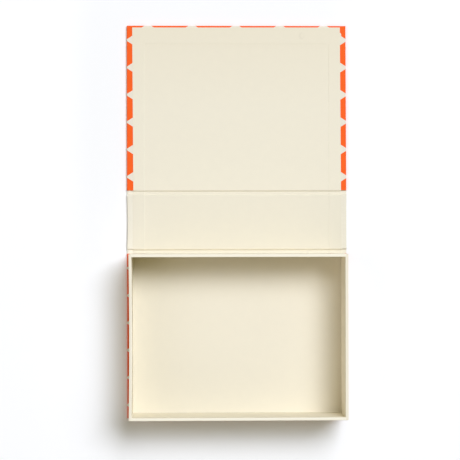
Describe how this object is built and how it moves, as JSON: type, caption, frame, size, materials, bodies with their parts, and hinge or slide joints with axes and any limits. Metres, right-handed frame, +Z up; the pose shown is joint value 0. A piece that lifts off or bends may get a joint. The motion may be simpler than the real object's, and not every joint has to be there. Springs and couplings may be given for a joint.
{
  "type": "book box",
  "caption": "Book-style keepsake box: a paper covered tray on a hinged cloth spine, with a lid panel that folds over it in two folds. Opens flat.",
  "frame": {"origin": "centre of the base's underside, on the table", "axes": "+X along the spine, +Y from the tray towards the opened lid, +Z up out of the tray"},
  "size_m": [0.224, 0.4005, 0.0546],
  "materials": {
    "lozenge_paper": "matte printed paper, orange and cream harlequin lozenges",
    "cream_book_cloth": "matte fine woven book cloth",
    "cream_lining_paper": "matte uncoated paper",
    "cream_tray_paper": "matte paper with a fine woven emboss",
    "grey_board": "raw grey board"
  },
  "bodies": {
    "base": {"base_board": "grey_board", "base_cover_paper": "lozenge_paper", "base_joint_cloth": "cream_book_cloth", "base_joint_lining": "cream_lining_paper", "tray_floor_board": "grey_board", "tray_front_wall": "grey_board", "tray_rear_wall": "grey_board", "tray_left_wall": "grey_board", "tray_right_wall": "grey_board", "tray_wrap": "cream_tray_paper", "tray_floor_lining": "cream_tray_paper"},
    "spine": {"spine_board": "grey_board", "spine_cloth": "cream_book_cloth", "spine_lining": "cream_lining_paper"},
    "lid": {"lid_board": "grey_board", "lid_cover_paper": "lozenge_paper", "lid_joint_cloth": "cream_book_cloth", "lid_joint_lining": "cream_lining_paper", "lid_lining": "cream_lining_paper"}
  },
  "joints": [
    {"name": "spine_fold", "type": "hinge", "parent": "base", "child": "spine", "pos_m": [0, 0.08755, 0.00035], "axis": [1, 0, 0], "range_deg": [0, 90], "deforming": ["base_joint_cloth", "base_joint_lining"]},
    {"name": "lid_fold", "type": "hinge", "parent": "spine", "child": "lid", "pos_m": [0, 0.14495, 0.00035], "axis": [1, 0, 0], "range_deg": [0, 90], "deforming": ["lid_joint_cloth", "lid_joint_lining"]}
  ]
}
